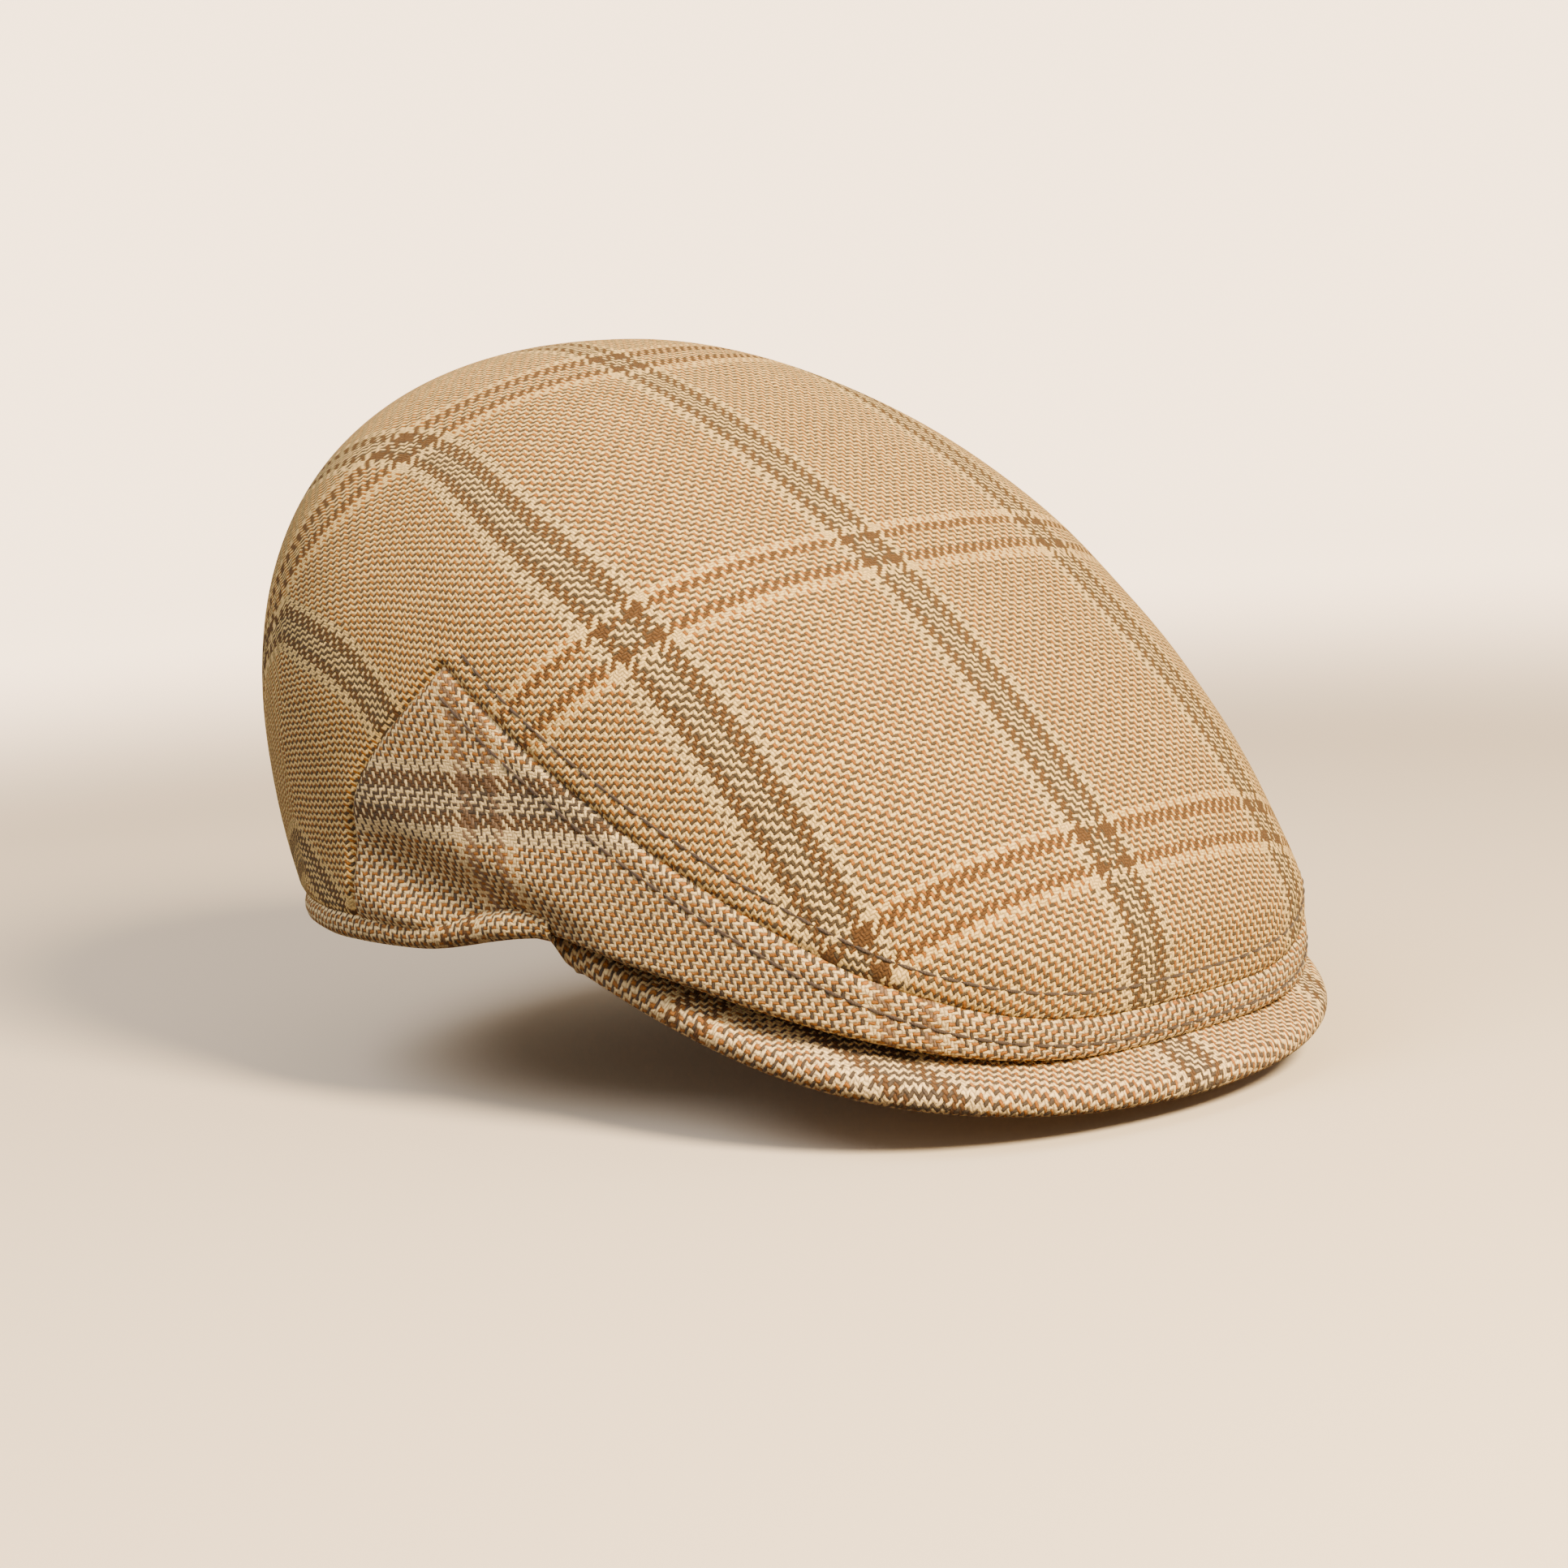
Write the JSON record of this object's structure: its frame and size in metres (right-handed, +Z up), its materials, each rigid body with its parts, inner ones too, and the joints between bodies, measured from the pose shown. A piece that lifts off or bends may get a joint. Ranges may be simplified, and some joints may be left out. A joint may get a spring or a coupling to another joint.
{
  "type": "flat cap",
  "caption": "Duckbill flat cap in checked wool twill: one-piece top running front to back, side panels, stiff wrapped visor, lining and inner sweatband.",
  "frame": {"origin": "centre of the head opening, at the height of the bottom edge at the back", "axes": "+Z up out of the crown, -Y towards the visor, +X towards the wearer's left"},
  "size_m": [0.1786, 0.248, 0.1542],
  "materials": {
    "tweed_top": "wool twill in a windowpane check",
    "tweed_side_left": "wool twill in a windowpane check",
    "tweed_side_right": "wool twill in a windowpane check",
    "tweed_band": "wool twill, turned edge",
    "tweed_visor": "wool twill in a windowpane check",
    "tweed_visor_under": "wool twill",
    "board": "moulded stiffener",
    "lining": "satin-weave lining",
    "sweatband_leather": "smooth, lightly grained",
    "label_cloth": "woven, blank",
    "thread": "spun thread"
  },
  "bodies": {
    "root": {"top_panel": "tweed_top", "side_panel_left": "tweed_side_left", "side_panel_right": "tweed_side_right", "edge_band": "tweed_band", "visor_cover_top": "tweed_visor", "visor_cover_bottom": "tweed_visor_under", "visor_board": "board", "lining_top": "lining", "lining_side_left": "lining", "lining_side_right": "lining", "sweatband": "sweatband_leather", "size_label": "label_cloth", "lining_label": "label_cloth", "topstitch_upper": "thread", "topstitch_lower": "thread"}
  },
  "joints": []
}
